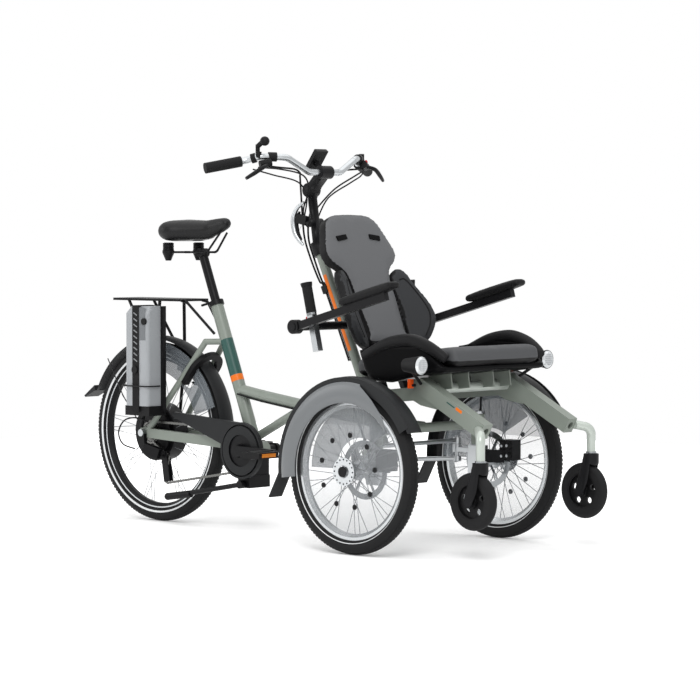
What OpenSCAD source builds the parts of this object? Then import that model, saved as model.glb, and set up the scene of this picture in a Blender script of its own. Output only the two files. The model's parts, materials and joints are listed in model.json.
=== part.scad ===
// Wheelchair bicycle: a chair on two steered front wheels, with a bicycle's rear half joined behind it.
// Lengths are in millimetres, +X points forward, +Y to the rider's left and +Z up.
// Shapes are drawn from the floor point under the front axle, and from_axle() centres the whole part.

/* [Wheels] */
// Outer radius of a front tyre
front_r = 253; // [245:1:260]
// Radius of a front rim's flange
front_rim_r = 209; // [204:1:212]
// Outer radius of the rear tyre
rear_r = 300.5; // [295:0.5:306]
// Radius of the rear rim's flange
rear_rim_r = 260; // [255:1:263]
// Width of every tyre's section
tyre_w = 47; // [44:1:49]
// Distance between the front and the rear axle
wheelbase = 1192; // [1170:1:1220]
// Distance of a front wheel's middle plane from the middle of the part
half_track = 340; // [332:1:350]
// Number of spokes in a wheel
spoke_n = 36; // [28:4:36]
// Radius of a spoke
spoke_r = 1.1; // [0.9:0.1:1.4]
// Radius of a brake disc
disc_r = 90; // [80:1:95]
// Radius of the rear hub motor's drum
motor_r = 96; // [85:1:104]

/* [Front steering] */
// Distance of a kingpin from the middle of the part
kingpin_y = 238; // [232:1:244]
// Radius of a kingpin
kingpin_r = 12; // [10:0.5:13]
// Radius of a front stub axle
stub_r = 10; // [8:0.5:11]
// Height of the front axle beam
beam_z = 368; // [364:1:374]
// Length of a steering arm, behind the kingpin
steer_arm = 86; // [78:1:95]
// Height of the track rod
rod_z = 312; // [308:1:316]
// Radial gap between a pin and its bore
pin_gap = 0.3; // [0.2:0.05:0.4]

/* [Guards] */
// Outer radius of a front mudguard
front_guard_r = 286; // [280:1:290]
// Width of a front mudguard
front_guard_w = 62; // [60:1:68]
// Outer radius of the rear mudguard
rear_guard_r = 324; // [321:1:330]
// Width of the rear mudguard
rear_guard_w = 62; // [60:1:68]
// Wall of a mudguard
guard_wall = 2.5; // [2:0.1:4]
// Reach of the rear mudguard's flap behind the rear axle
flap_reach = 351; // [345:1:360]
// Thickness of a dress guard panel
panel_t = 3; // [2:0.5:4]

/* [Rear frame] */
// Height of the crank axle
crank_z = 262; // [255:1:270]
// Distance of the crank axle behind the front axle
crank_back = 742; // [736:1:748]
// Height of the seat tube's top
seat_tube_z = 728; // [700:1:740]
// Lean of the seat tube from upright, in degrees
seat_lean = 21.5; // [21:0.1:22]
// Radius of the seat tube
seat_tube_r = 21; // [19:0.5:23]
// Radius of the seat post
seat_post_r = 15; // [13:0.5:16]
// Height of the saddle clamp
saddle_clamp_z = 896; // [880:1:930]
// Radius of the main tube
main_tube_r = 20.5; // [18:0.5:22]
// Distance of a rear dropout from the middle of the part
dropout_y = 76; // [75:1:80]
// Length of a crank arm between its centres
crank_len = 170; // [160:1:172]
// Height of the carrier's platform
carrier_z = 749; // [740:1:760]

/* [Steering column] */
// Lean of the steering column from upright, in degrees
column_lean = 24.6; // [24:0.1:25]
// Radius of the steering column
column_r = 16; // [14:0.5:17]
// Height of the bend between the column and its head
column_bend_z = 925; // [915:1:935]
// Half width of the handlebar
bar_half_w = 370; // [350:1:380]
// Radius of the handlebar
bar_r = 11; // [10.5:0.1:12.7]
// Radius of a grip
grip_r = 17; // [15:0.5:18]

/* [Chair] */
// Distance of an arm's middle from the middle of the part
arm_y = 200; // [194:1:206]
// Height of an arm's box section
arm_h = 48; // [44:1:52]
// Width of an arm's box section
arm_w = 40; // [36:1:44]
// Radius of the footrest socket in an arm's end
socket_r = 11; // [9:0.5:12]
// Depth of the footrest socket
socket_depth = 60; // [40:1:80]
// Distance of a caster's stem from the middle of the part
caster_y = 262; // [256:1:268]
// Distance of a caster's stem ahead of the front axle
caster_x = 434; // [430:1:440]
// Radius of a caster wheel
caster_r = 86; // [80:1:90]
// Height of a caster wheel's axle
caster_z = 180; // [176:1:190]
// Distance of a caster wheel's axle behind its stem
caster_trail = 26; // [20:1:30]
// Half width of the seat
seat_half_w = 245; // [235:1:250]
// Tilt of the seat, in degrees
seat_tilt = 7; // [6:0.5:8]
// Recline of the backrest from upright, in degrees
recline = 24.5; // [23:0.5:26]
// Distance of an armrest from the middle of the part
armrest_y = 296; // [292:1:300]
// Height of the armrests' pivot
armrest_z = 680; // [670:1:690]

/* [Hidden] */
$fn = 48;

sage = "#8b948a";
black = "#1d1e20";
grey = "#77797b";
silver = "#c9ccce";
smoke = "#8a9096";
rubber = "#2a2a2b";
padding = "#4a4b4d";
pale_grey = "#a9abad";

// Gap between a soft or loose piece and its seat
seat_gap = 0.3;
rear_axle_r = 7;
rear_x = -wheelbase;
crank_x = -crank_back;
nose_reach = caster_x - caster_trail + caster_r;
axle_x = (wheelbase + flap_reach - nose_reach) / 2;

module from_axle() {
  translate([axle_x, 0, 0]) children();
}

// Draws its children on the right, as modelled, and mirrored on the left
module both_sides() {
  children();
  mirror([0, 1, 0]) children();
}

// Turns a shape drawn about +Z so that its axis points to the right, its x forward and its y up
module sideways(place) {
  translate(place) rotate([90, 0, 0]) children();
}

function unit(v) = v / norm(v);

// Direction of the seat tube and of the steering column, upwards
seat_dir = [-sin(seat_lean), 0, cos(seat_lean)];
column_dir = [-sin(column_lean), 0, cos(column_lean)];
back_dir = [-sin(recline), 0, cos(recline)];

// Round bar from a to b
module bar(a, b, r) {
  d = b - a;
  translate(a) rotate([0, acos(d[2] / norm(d)), atan2(d[1], d[0])]) cylinder(r = r, h = norm(d));
}

// Box bar from a to b, w wide across and h deep
module box_bar(a, b, w, h) {
  d = b - a;
  translate(a) rotate([0, acos(d[2] / norm(d)), atan2(d[1], d[0])])
    translate([-h / 2, -w / 2, 0]) cube([h, w, norm(d)]);
}

function turn(p, i) = acos(min(1, unit(p[i] - p[i - 1]) * unit(p[i + 1] - p[i])));
function setback(p, i, bend) = i == 0 || i == len(p) - 1 ? 0 : bend * tan(turn(p, i) / 2);

// Length that a straight run of a bent tube reaches into its bend, and how much thinner it is there
lap = 1.5;
lap_step = 0.4;

// Bent round tube through the points p, with its bends at one radius
module pipe(p, r, bend) {
  for (i = [0 : len(p) - 2]) {
    u = unit(p[i + 1] - p[i]);
    first = i == 0 ? 0 : setback(p, i, bend) - lap;
    last = i == len(p) - 2 ? 0 : setback(p, i + 1, bend) - lap;
    bar(p[i] + u * first, p[i + 1] - u * last, r - lap_step);
  }
  for (i = [1 : len(p) - 2]) {
    u = unit(p[i] - p[i - 1]);
    n = unit(cross(u, p[i + 1] - p[i]));
    s = cross(n, u);
    c = p[i] - u * setback(p, i, bend) + s * bend;
    multmatrix([[-s[0], u[0], n[0], c[0]], [-s[1], u[1], n[1], c[1]], [-s[2], u[2], n[2], c[2]], [0, 0, 0, 1]])
      rotate_extrude(angle = turn(p, i)) translate([bend, 0]) circle(r);
  }
}

bend_steps = 5;
cable_sides = 8;
// Points of a path with each corner rounded over the length s
function rounded(p, s) = concat([p[0]], [for (i = [1 : len(p) - 2], k = [0 : bend_steps])
  let (a = p[i] - unit(p[i] - p[i - 1]) * s, b = p[i] + unit(p[i + 1] - p[i]) * s, t = k / bend_steps)
  a * (1 - t) * (1 - t) + p[i] * 2 * t * (1 - t) + b * t * t], [p[len(p) - 1]]);

// Cable along a path, as one swept solid
module cable(p, r, s) {
  q = rounded(p, s);
  last = len(q) - 1;
  side = [0.47, 0.61, -0.64];
  rings = [for (i = [0 : last])
    let (t = unit(q[min(i + 1, last)] - q[max(i - 1, 0)]), u = unit(cross(t, side)), v = cross(t, u))
    for (k = [0 : cable_sides - 1]) q[i] + r * (u * cos(k * 360 / cable_sides) + v * sin(k * 360 / cable_sides))];
  walls = [for (i = [0 : last - 1], k = [0 : cable_sides - 1])
    let (a = i * cable_sides + k, b = i * cable_sides + (k + 1) % cable_sides)
    for (f = [[a, a + cable_sides, b], [b, a + cable_sides, b + cable_sides]]) f];
  caps = [[for (k = [0 : cable_sides - 1]) k], [for (k = [cable_sides - 1 : -1 : 0]) last * cable_sides + k]];
  polyhedron(points = rings, faces = concat(walls, caps));
}

// Ring of a tyre about +Z
module tyre(r, rim_r) {
  rotate_extrude() difference() {
    translate([r - tyre_w / 2, 0]) circle(d = tyre_w);
    translate([0, -tyre_w]) square([rim_r + seat_gap, 2 * tyre_w]);
  }
}

// Rim about +Z, with a flat flange and a tapered well
module rim(rim_r, w) {
  rotate_extrude() polygon([[rim_r, -w / 2], [rim_r, w / 2], [rim_r - 9, w / 2], [rim_r - 19, w / 5],
    [rim_r - 19, -w / 5], [rim_r - 9, -w / 2]]);
}

// Crossed spokes between two hub flanges and a rim
module spokes(flange_r, flange_z, rim_r, lace) {
  for (i = [0 : spoke_n - 1]) {
    a = i * 360 / spoke_n;
    b = a + (i % 4 < 2 ? lace : -lace);
    z = i % 2 == 0 ? flange_z[0] : flange_z[1];
    bar([flange_r * cos(a), flange_r * sin(a), z], [(rim_r - 17) * cos(b), (rim_r - 17) * sin(b), 0], spoke_r);
  }
}

crown_r = 60;
// Crowned section of a mudguard
module guard_section(r, w) {
  intersection() {
    translate([r - crown_r, 0]) difference() {
      circle(crown_r);
      circle(crown_r - guard_wall);
    }
    translate([r - crown_r, -w / 2]) square([2 * crown_r, w]);
  }
}

// Arc of a mudguard about +Z, from one angle to another
module guard_arc(r, w, from, to) {
  rotate([0, 0, from]) rotate_extrude(angle = to - from) guard_section(r, w);
}

// Rear frame

seat_foot = [crank_x, 0, crank_z];
seat_top = seat_foot + seat_dir * (seat_tube_z - crank_z) / cos(seat_lean);
main_joint = seat_foot + seat_dir * 205;
column_foot_z = 330;
head_low_z = 345;
head_high_z = 440;
// Point of the steering axis at a height
function on_column(z) = [-277 - (z - 511) * tan(column_lean), 0, z];
main_end = on_column(378);
bb_half_w = 36;
stay_front_y = 33;

module main_frame() {
  color(sage) from_axle() difference() {
    union() {
      bar(seat_foot, seat_top, seat_tube_r);
      pipe([main_joint, [-715, 0, 437], [-540, 0, 414], main_end], main_tube_r, 160);
      bar([-748, 0, 300], [-540, 0, 402], 14);
      bar(on_column(head_low_z), on_column(head_high_z), column_r + 6);
      bar([main_end[0], 0, main_end[2]], [-20, 0, beam_z], main_tube_r - 3);
      sideways([crank_x, bb_half_w, crank_z]) cylinder(r = 27, h = 2 * bb_half_w);
      both_sides() stays();
    }
    bar(on_column(head_low_z - 60), on_column(head_high_z + 60), column_r + pin_gap);
    sideways([crank_x, bb_half_w + 10, crank_z]) cylinder(r = 18, h = 2 * bb_half_w + 20);
    bar(seat_top - seat_dir * 120, seat_top + seat_dir * 10, seat_post_r + 0.05);
    sideways([rear_x, dropout_y + 30, rear_r]) cylinder(r = rear_axle_r + 0.05, h = 2 * dropout_y + 60);
  }
}

// Chainstay, seat stay and dropout of the right
module stays() {
  box_bar([rear_x + 17, -dropout_y, rear_r], [crank_x - 60, -stay_front_y, crank_z + 14], 18, 32);
  box_bar([crank_x - 66, -stay_front_y + 0.5, crank_z + 13], [crank_x - 20, -27, crank_z + 6], 17, 30);
  bar([rear_x + 20, -dropout_y, rear_r + 12], [-935, -44, 610], 10);
  translate([-935, -44, 610]) sphere(r = 10.3);
  bar([-935, -44, 610], seat_foot + seat_dir * 375, 10);
  sideways([rear_x, -dropout_y + 5, rear_r]) {
    cylinder(r = 22, h = 10);
    translate([0, -12, 0.5]) cube([40, 26, 9]);
  }
}

module stand_bracket() {
  color(black) from_axle() {
    difference() {
      union() {
        translate([crank_x - 22, -34, 176]) cube([44, 68, crank_z - 27.5 - 176]);
        translate([crank_x - 26, -62, 140]) cube([52, 96, 40]);
      }
      sideways([crank_x, 50, stand_pivot_z]) cylinder(r = stand_pin_r + pin_gap, h = 160);
    }
  }
}

stand_pivot_z = 152;
stand_pin_r = 7;
stand_y = -75;
stand_len = 330;
stand_fold = 10;
module stand_leg() {
  color(black) from_axle() {
    sideways([crank_x, 44, stand_pivot_z]) cylinder(r = stand_pin_r, h = 44 - stand_y + 8);
    sideways([crank_x, stand_y + 9, stand_pivot_z]) cylinder(r = 13, h = 18);
    tip = [crank_x - stand_len * cos(stand_fold), stand_y, stand_pivot_z - stand_len * sin(stand_fold)];
    bar([crank_x, stand_y, stand_pivot_z], tip, 8);
    translate(tip) rotate([0, -8, 0]) translate([0, 0, 0]) rotate([0, 90, 0]) {
      translate([0, 0, -16]) cylinder(r = 12, h = 110);
      translate([0, 0, -16]) sphere(r = 12.4);
    }
  }
}

// Saddle and its post

post_top = seat_top + seat_dir * (saddle_clamp_z - seat_tube_z) / cos(seat_lean);
module seat_post() {
  color(black) from_axle() {
    bar(seat_top - seat_dir * 110, post_top, seat_post_r);
    difference() {
      bar(seat_top + seat_dir * 0.2, seat_top + seat_dir * 16, seat_tube_r + 4);
      bar(seat_top - seat_dir, seat_top + seat_dir * 18, seat_post_r - 2);
    }
    bar(seat_top + [-20, -18, 8], seat_top + [-48, -24, 0], 4);
    sideways(post_top + [0, 17.5, 6]) cylinder(r = 15, h = 35);
  }
}

saddle_x = -1000;
saddle_top_z = 1008;
module saddle() {
  color(black) from_axle() {
    hull() {
      for (y = [-75, 75]) translate([saddle_x - 78, y, saddle_top_z - 34]) scale([1.3, 1, 1]) sphere(r = 34, $fn = 32);
      translate([saddle_x - 60, 0, saddle_top_z - 30]) sphere(r = 34, $fn = 32);
      translate([saddle_x + 40, 0, saddle_top_z - 30]) sphere(r = 30, $fn = 32);
    }
    hull() {
      translate([saddle_x + 30, 0, saddle_top_z - 30]) sphere(r = 31, $fn = 32);
      translate([saddle_x + 116, 0, saddle_top_z - 10]) sphere(r = 22, $fn = 32);
    }
  }
}

module saddle_springs() {
  color(black) from_axle() {
    both_sides() {
      pipe([[saddle_x + 105, -16, saddle_top_z - 40], [saddle_x + 50, -22, post_top[2] + 8],
        [saddle_x - 40, -24, post_top[2] + 8], [saddle_x - 80, -62, post_top[2] + 8]], 4, 25);
      translate([saddle_x - 84, -70, post_top[2] - 20]) cylinder(r1 = 9, r2 = 20, h = 26);
      translate([saddle_x - 84, -70, post_top[2] + 6]) cylinder(r = 20, h = 8);
      for (k = [0 : 4]) translate([saddle_x - 84, -70, post_top[2] + 16 + k * 5]) rotate_extrude()
        translate([16, 0]) circle(r = 2.6);
      translate([saddle_x - 84, -70, post_top[2] + 10]) cylinder(r = 14.5, h = 30);
    }
  }
}

// Rear wheel and drive

module rear_tyre() {
  color(rubber) from_axle() sideways([rear_x, 0, rear_r]) tyre(rear_r, rear_rim_r);
}

cog_n = 4;
cog_step = 5;
module rear_wheel() {
  color(black) from_axle() sideways([rear_x, 0, rear_r]) difference() {
    union() {
      rim(rear_rim_r, 32);
      cylinder(r = motor_r, h = 60, center = true);
      cylinder(r = motor_r - 14, h = 84, center = true);
      cylinder(r = 24, h = 118, center = true);
      for (k = [0 : cog_n - 1]) translate([0, 0, -chain_y - 0.9 + (k - 1) * cog_step]) cylinder(r = cog_pitch_r - 5.3 - (k - 1) * 4.5, h = 1.8);
      spokes(motor_r - 4, [-24, 24], rear_rim_r, 9);
    }
    cylinder(r = rear_axle_r + pin_gap, h = 200, center = true);
  }
}

chain_y = -48;
ring_r = 62;
jockey_x = -1112;
module derailleur() {
  color(black) from_axle() {
    bar([rear_x, -dropout_y - 5.3, rear_r], [rear_x, -dropout_y - 22, rear_r], rear_axle_r + 5);
    bar([rear_x, dropout_y + 5.3, rear_r], [rear_x, dropout_y + 20, rear_r], rear_axle_r + 5);
    sideways([rear_x, dropout_y + 6, rear_r]) cylinder(r = rear_axle_r, h = 2 * dropout_y + 12);
    box_bar([rear_x + 4, -dropout_y - 14, rear_r - 4], [rear_x + 10, -dropout_y - 14, rear_r - 50], 14, 20);
    box_bar([rear_x + 10, -dropout_y - 12, rear_r - 50], [jockey_x - 12, -74, 232], 22, 34);
    for (s = [-9.5, 6.5]) box_bar([jockey_x - 12, chain_y + s + 1.5, 238], [jockey_x + 4, chain_y + s + 1.5, 140], 3, 26);
    box_bar([jockey_x - 12, -74, 236], [jockey_x - 10, chain_y - 8, 236], 20, 12);
    for (p = [jockey_up, jockey_low])
      sideways([p[0], chain_y + 7, p[1]]) cylinder(r = 8, h = 14);
  }
}

chain_w = 6;
chain_pitch = 12.7;
link_r = 4.3;
// Point at a share of the way along a straight run, and round an arc
function along(a, b, n) = [for (k = [0 : n - 1]) a + (b - a) * k / n];
function round_arc(c, r, from, to, n) = [for (k = [0 : n - 1]) c + r * [cos(from + (to - from) * k / n), sin(from + (to - from) * k / n)]];
ring_c = [crank_x, crank_z];
cog_c = [rear_x, rear_r];
jockey_up = [jockey_x - 9, 218];
jockey_low = [jockey_x + 2, 150];
function on_arc(c, r, a) = c + r * [cos(a), sin(a)];
ring_pitch_r = ring_r + 5.5;
cog_pitch_r = 36;
jockey_pitch_r = 16;
function run_n(a, b) = round(norm(b - a) / chain_pitch);
chain_points = let (a = on_arc(ring_c, ring_pitch_r, 95), b = on_arc(cog_c, cog_pitch_r, 95), c = on_arc(cog_c, cog_pitch_r, 290),
  d = on_arc(jockey_up, jockey_pitch_r, 20), e = on_arc(jockey_low, jockey_pitch_r, 190), f = on_arc(jockey_low, jockey_pitch_r, 262),
  g = on_arc(ring_c, ring_pitch_r, 262))
  concat(along(a, b, run_n(a, b)), round_arc(cog_c, cog_pitch_r, 95, 290, 10), along(c, d, run_n(c, d)), along(d, e, run_n(d, e)),
    round_arc(jockey_low, jockey_pitch_r, 190, 262, 2), along(f, g, run_n(f, g)), round_arc(ring_c, ring_pitch_r, 262, 455, 18));
module chain() {
  color(silver) from_axle() sideways([0, chain_y + chain_w / 2, 0]) linear_extrude(height = chain_w)
    for (i = [0 : len(chain_points) - 1]) {
      p = chain_points[i];
      d = chain_points[(i + 1) % len(chain_points)] - p;
      translate(p) circle(link_r);
      translate(p) rotate(atan2(d[1], d[0])) translate([0, -2.8]) square([norm(d), 5.6]);
    }
}

module chain_guard() {
  color(black) from_axle() difference() {
    union() {
      sideways([crank_x, -63, crank_z]) cylinder(r = 92, h = 14);
      hull() {
        sideways([crank_x, -63, crank_z + 40]) cylinder(r = 50, h = 14, $fn = 32);
        sideways([crank_x - 310, -63, crank_z + 104]) cylinder(r = 9, h = 14, $fn = 32);
      }
    }
    sideways([crank_x, -66, crank_z]) cylinder(r = 85.5, h = 30);
    sideways([crank_x, -50, crank_z]) cylinder(r = 27, h = 30);
  }
}

module crankset() {
  color(black) from_axle() {
    sideways([crank_x, bb_half_w + 50, crank_z]) cylinder(r = 12, h = 2 * bb_half_w + 112);
    sideways([crank_x, -71, crank_z]) difference() {
      cylinder(r = 80, h = 8);
      translate([0, 0, 3]) cylinder(r = 52, h = 8);
    }
    sideways([crank_x, -47, crank_z]) cylinder(r = ring_r, h = 3);
    sideways([crank_x, -46, crank_z]) cylinder(r = 22, h = 52);
    crank_arm(-98, 1);
    crank_arm(86, -1);
  }
}

module crank_arm(y, s) {
  sideways([crank_x, y + 8, crank_z]) {
    difference() {
      hull() {
        cylinder(r = 17, h = 14, $fn = 32);
        translate([s * crank_len, 0, 0]) cylinder(r = 13, h = 14, $fn = 32);
      }
      translate([s * crank_len, 0, -1]) cylinder(r = 6 + pin_gap, h = 20);
    }
  }
}

// Pedal with its pin pointing inwards, for the right
module pedal(s) {
  sideways([crank_x + s * crank_len, -110, crank_z]) {
    translate([0, 0, -18]) cylinder(r = 6, h = 30);
    translate([0, 0, 6]) cylinder(r = 13, h = 90);
    translate([-42, -10, 8]) cube([84, 20, 12]);
    translate([-42, -10, 84]) cube([84, 20, 12]);
    for (x = [-42, 30]) translate([x, -10, 8]) cube([12, 20, 88]);
  }
}

module pedal_right() {
  color(black) from_axle() pedal(1);
}

module pedal_left() {
  color(black) from_axle() mirror([0, 1, 0]) pedal(-1);
}

// Rear guards, lock, carrier and battery

module rear_mudguard() {
  color(black) from_axle() {
    sideways([rear_x, 0, rear_r]) {
      guard_arc(rear_guard_r, rear_guard_w, 0, 156);
      translate([0, 0, -rear_guard_w / 2]) linear_extrude(height = rear_guard_w)
        polygon([[-296, 128], [-300, 146], [-flap_reach, 109], [-flap_reach + 4, 104]]);
    }
    both_sides() pipe([[rear_x - 20, -dropout_y - 2, rear_r + 26], [-1300, -dropout_y, 420],
      [-1420, -34, 540]], 2.2, 60);
  }
}

module skirt_guard() {
  color(smoke) from_axle() both_sides() sideways([rear_x, -36, rear_r]) {
    difference() {
      rotate([0, 0, 18]) rotate_extrude(angle = 62) translate([210, 0]) square([96, panel_t]);
      translate([172, 180, -1]) cylinder(r = 26, h = 10);
    }
  }
}

stay_lean = 38.5;
lock_out_r = 66;
lock_in_r = 44;
lock_reach = 300;
// Frame of the seat stays' plane, with its x up along the stays from the axle and its z backward and up
module stay_plane() {
  translate([rear_x, 0, rear_r]) rotate([0, stay_lean - 90, 0]) children();
}

module ring_lock() {
  color(black) from_axle() stay_plane() translate([0, 0, -35.2]) linear_extrude(height = 16) difference() {
    union() {
      translate([lock_reach, 0]) circle(lock_out_r);
      translate([lock_reach - 62, -lock_out_r]) square([62, 2 * lock_out_r]);
    }
    translate([lock_reach, 0]) circle(lock_in_r);
    translate([lock_reach - 63, -lock_in_r]) square([63, 2 * lock_in_r]);
  }
}

carrier_rear = -1362;
carrier_front = -1030;
carrier_half_w = 62;
module carrier() {
  color(black) from_axle() {
    translate([carrier_rear, -carrier_half_w, carrier_z - 8]) cube([carrier_front - carrier_rear, 2 * carrier_half_w, 8]);
    both_sides() {
      pipe([[-1140, -carrier_half_w + 6, carrier_z - 6], [-1150, -68, 560], [rear_x - 6, -dropout_y - 11.5, 318]], 6, 80);
      pipe([[-1045, -carrier_half_w + 14, carrier_z - 6], [-1020, -carrier_half_w + 14, carrier_z - 10],
        [-918, -20, 636]], 5, 18);
      bar([-1290, -carrier_half_w + 6, carrier_z - 6], [-1152, -68, 540], 5);
    }
  }
}

battery_x = -1188;
battery_w = 109;
battery_y = -172;
battery_d = 78;
battery_z = 396;
battery_h = 330;
module battery() {
  color(pale_grey) from_axle() translate([battery_x, battery_y, battery_z]) hull() {
    for (x = [14, battery_w - 14], y = [14, battery_d - 14]) translate([x, y, 0]) cylinder(r = 14, h = battery_h - 24, $fn = 32);
    for (x = [30, battery_w - 14], y = [24, battery_d - 24]) translate([x, y, 0]) cylinder(r = 14, h = battery_h, $fn = 32);
  }
}

strap_x = 40;
strap_w = 30;
module battery_holder() {
  color(black) from_axle() {
    translate([battery_x - 2, battery_y + 4, battery_z - 32]) cube([battery_w + 6, battery_d - 2, 31.7]);
    translate([battery_x + strap_x, battery_y - 3, battery_z - 20]) cube([strap_w, 2.7, battery_h + 23]);
    translate([battery_x + strap_x, battery_y - 3, battery_z + battery_h + 0.3]) cube([strap_w, 80, 2.7]);
    translate([battery_x + battery_w + 0.3, battery_y + 60, battery_z - 20]) cube([12, 14, battery_h + 20]);
  }
}

// Steering

column_top = on_column(column_bend_z);
stem_foot = column_top + [-30, 0, 180];
stem_head = stem_foot + [56, 0, 56];
module steering_column() {
  color(sage) from_axle() {
    bar(on_column(column_foot_z - 12), column_top, column_r);
    pitman();
  }
}

// Arm at the column's foot that moves the drag link
pitman_end = on_column(column_foot_z - 19) + [-cos(column_lean), 0, -sin(column_lean)] * steer_arm;
stud_r = 6;
module pitman() {
  bar(pitman_end, pitman_end - column_dir * 34, stud_r);
  hull() {
    bar(on_column(column_foot_z - 12), on_column(column_foot_z - 26), column_r);
    translate(pitman_end) rotate([0, -column_lean, 0])
      cylinder(r = 11, h = 14, center = true, $fn = 32);
  }
}

module column_clamp() {
  color(black) from_axle() difference() {
    union() {
      bar(column_top - column_dir * 30, column_top + column_dir * 14, column_r + 6);
      bar(column_top + column_dir * 8, stem_foot, 15);
      sideways(stem_foot + [0, 20, 0]) cylinder(r = 22, h = 40);
      box_bar(stem_foot, stem_head, 30, 32);
      sideways(stem_head + [0, 26, 0]) cylinder(r = 21, h = 52);
      sideways(column_top + [-16, 30, 76]) cylinder(r = 14, h = 60);
      pipe([column_top + [-20, -28, 76], column_top + [-70, -28, 100], column_top + [-66, -28, -60]], 8, 40);
    }
    bar(column_top - column_dir * 40, column_top + column_dir * 0.2, column_r + 0.05);
    sideways(stem_head + [0, 40, 0]) cylinder(r = bar_r + 0.1, h = 80);
  }
}

bar_path = [[stem_head[0], -72, stem_head[2]], [-452, -160, 1206], [-500, -235, 1208], [-538, -262, 1195],
  [-594, -bar_half_w, 1172]];
bar_end = bar_path[4];
bar_end_dir = unit(bar_end - bar_path[3]);
module handlebar() {
  color(silver) from_axle()
    pipe(concat([for (i = [4 : -1 : 0]) bar_path[i]], [for (q = bar_path) [q[0], -q[1], q[2]]]), bar_r, 45);
}

grip_len = 112;
module grips() {
  color(black) from_axle() both_sides() difference() {
    bar(bar_end - bar_end_dir * grip_len, bar_end + bar_end_dir * 8, grip_r);
    bar(bar_end - bar_end_dir * (grip_len + 10), bar_end + bar_end_dir * 0.2, bar_r + 0.05);
  }
}

module brake_levers() {
  color(black) from_axle() both_sides() {
    translate([-516, -252, 1170]) rotate([0, 0, -28]) cube([46, 30, 26], center = true);
    pipe([[-500, -250, 1170], [-520, -290, 1158], [-590, -bar_half_w + 20, 1142]], 6, 30);
  }
}

module display() {
  color(black) from_axle() translate([-436, 0, stem_head[2] + 58]) rotate([0, -38, 0]) {
    translate([-8, -26, -30]) cube([16, 52, 70]);
    translate([-8, -8, -44]) cube([12, 16, 20]);
  }
}

module bell() {
  color(black) from_axle() {
    bar([-505, -236, 1219], [-505, -236, 1246], 7);
    bar([-505, -236, 1240], [-480, -236, 1256], 8);
    translate([-474, -236, 1256]) sphere(r = 15);
  }
}

module steering_cables() {
  color(black) from_axle() both_sides() {
    cable([[-490, -60, 1150], [-545, -44, 1090], [-550, -48, 960], [-448, -26, 820], [-380, -20, 660]], 3, 40);
  }
}

knuckle_arm_y = kingpin_y;
module track_rod() {
  color(silver) from_axle() {
    bar([-steer_arm, -knuckle_arm_y + 8, rod_z], [-steer_arm, knuckle_arm_y - 8, rod_z], 7);
    for (s = [-1, 1]) translate([-steer_arm, s * knuckle_arm_y, rod_z - 10]) rod_eye(stud_r + pin_gap, 20);
  }
}

module rod_eye(bore, h) {
  difference() {
    cylinder(r = bore + 7, h = h);
    translate([0, 0, -1]) cylinder(r = bore, h = h + 2);
  }
}

// Room round the column's stud, because this pivot is left open
open_gap = 6;
drag_z = 254;
module drag_link() {
  color(silver) from_axle() {
    foot = [pitman_end[0] + 8, 0, drag_z];
    head = [-steer_arm, knuckle_arm_y, drag_z];
    u = unit(head - foot);
    bar(foot + u * 16, head - u * 10, 7);
    translate(foot - [0, 0, 7]) rod_eye(stud_r + open_gap, 14);
    translate(head - [0, 0, 8]) rod_eye(stud_r + pin_gap, 16);
  }
}

// Front wheels, drawn for the right

module front_hub_place() {
  sideways([0, -half_track, front_r]) children();
}

hub_in = -52;
module front_tyre() {
  front_hub_place() tyre(front_r, front_rim_r);
}

module front_wheel() {
  front_hub_place() difference() {
    union() {
      rim(front_rim_r, 25);
      translate([0, 0, hub_in]) cylinder(r = 20, h = 36 - hub_in);
      for (z = [-22, 20]) translate([0, 0, z]) cylinder(r = 30, h = 3);
      translate([0, 0, 36]) cylinder(r = 15, h = 14);
      spokes(27, [-20.5, 21.5], front_rim_r, 38);
      brake_disc();
    }
    translate([0, 0, hub_in - 1]) cylinder(r = stub_r + pin_gap, h = 80);
  }
}

module brake_disc() {
  translate([0, 0, hub_in]) {
    difference() {
      cylinder(r = disc_r, h = 2);
      translate([0, 0, -1]) cylinder(r = disc_r - 18, h = 4);
    }
    for (a = [0 : 60 : 300]) rotate([0, 0, a]) translate([0, -4, 0]) cube([disc_r - 10, 8, 2]);
  }
}

module spoke_disc() {
  front_hub_place() rotate_extrude() polygon([[36, 30], [front_rim_r - 9.5, 12.6], [front_rim_r - 9.5, 14.6], [36, 32]]);
}

module front_mudguard() {
  front_hub_place() {
    guard_arc(front_guard_r, front_guard_w, 27, 184);
    translate([0, 0, -front_guard_w / 2 + 4]) linear_extrude(height = front_guard_w - 8)
      polygon([[-277, -8], [-283.5, -8], [-332, -96], [-326, -98]]);
    rotate([0, 0, stay_at]) translate([258, -7, -22]) cube([23.2, 14, 8]);
  }
  guard_stay(4);
}

// Angle round the wheel where a front mudguard's stay ends
stay_at = 102;
// Stay that carries a front mudguard on its knuckle
module guard_stay(r) {
  pipe([[-10, -kingpin_y - 22.3, 284], [-12, -kingpin_y - 22.3, 312], [-56, -half_track + 18, 516]], r, 40);
}

module dress_guard() {
  difference() {
    dress_panels();
    guard_stay(6);
  }
}

module dress_panels() {
  front_hub_place() {
    translate([0, 0, front_guard_w / 2 + seat_gap]) rotate([0, 0, 42]) rotate_extrude(angle = 141)
      translate([207, 0]) square([front_guard_r - 207 - 4, panel_t]);
    translate([0, 0, -front_guard_w / 2 - seat_gap - panel_t]) linear_extrude(height = panel_t) intersection() {
      circle(r = front_guard_r - 4);
      translate([-210, 105]) square([360, 200]);
    }
  }
}

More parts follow.
